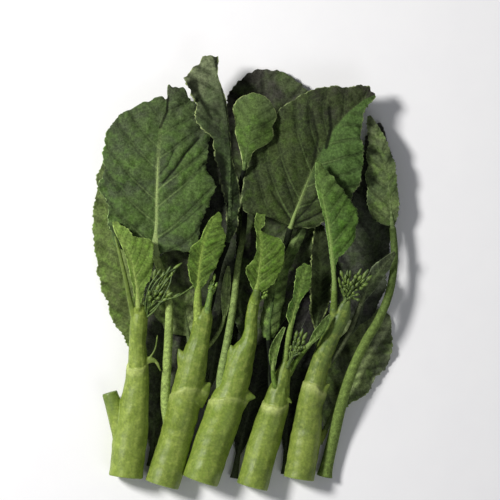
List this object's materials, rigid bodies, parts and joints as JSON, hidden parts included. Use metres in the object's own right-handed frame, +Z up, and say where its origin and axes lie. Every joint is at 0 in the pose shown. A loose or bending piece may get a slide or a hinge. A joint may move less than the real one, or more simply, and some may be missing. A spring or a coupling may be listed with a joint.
{
  "type": "chinese broccoli bunch",
  "caption": "Loose bunch of leafy green vegetable stems lying flat, with broad waved leaves, young top leaves and small closed flower buds at the stem tips.",
  "frame": {"origin": "middle of the bunch's outline in plan, on the surface that it lies on", "axes": "+Y runs from the cut stem ends to the leaf tips, +X across the fan of stems, +Z up from the surface"},
  "size_m": [0.1996, 0.2834, 0.0363],
  "materials": {
    "stem": "satin",
    "old_leaf": "satin",
    "young_leaf": "satin",
    "shade_leaf": "satin",
    "bud": "satin"
  },
  "bodies": {
    "root": {"stem_left": "stem", "stem_wide": "stem", "stem_middle": "stem", "stem_slim": "stem", "stem_right": "stem", "leaf_left_big": "old_leaf", "leaf_folded_tall": "old_leaf", "leaf_back_dark": "shade_leaf", "leaf_round_light": "old_leaf", "leaf_right_big": "old_leaf", "leaf_right_edge": "old_leaf", "leaf_half_view": "old_leaf", "young_leaf_wide": "young_leaf", "young_leaf_middle": "young_leaf", "young_leaf_slim": "young_leaf", "leaf_rolled_long": "shade_leaf", "leaf_left_under": "shade_leaf", "leaf_right_under": "shade_leaf", "leaf_right_shade": "shade_leaf", "leaf_right_folded": "shade_leaf", "leaf_gap_left": "shade_leaf", "young_leaf_left": "young_leaf", "leaf_small_shade": "shade_leaf", "leaf_ruffled_shade": "shade_leaf", "leaf_spear": "young_leaf", "leaf_bract": "young_leaf", "leaf_floor_left": "shade_leaf", "leaf_floor_middle": "shade_leaf", "leaf_floor_right": "shade_leaf", "leaf_middle_under": "shade_leaf", "buds_left": "bud", "buds_middle": "bud", "buds_slim": "bud", "buds_right": "bud", "buds_wide": "bud"}
  },
  "joints": []
}
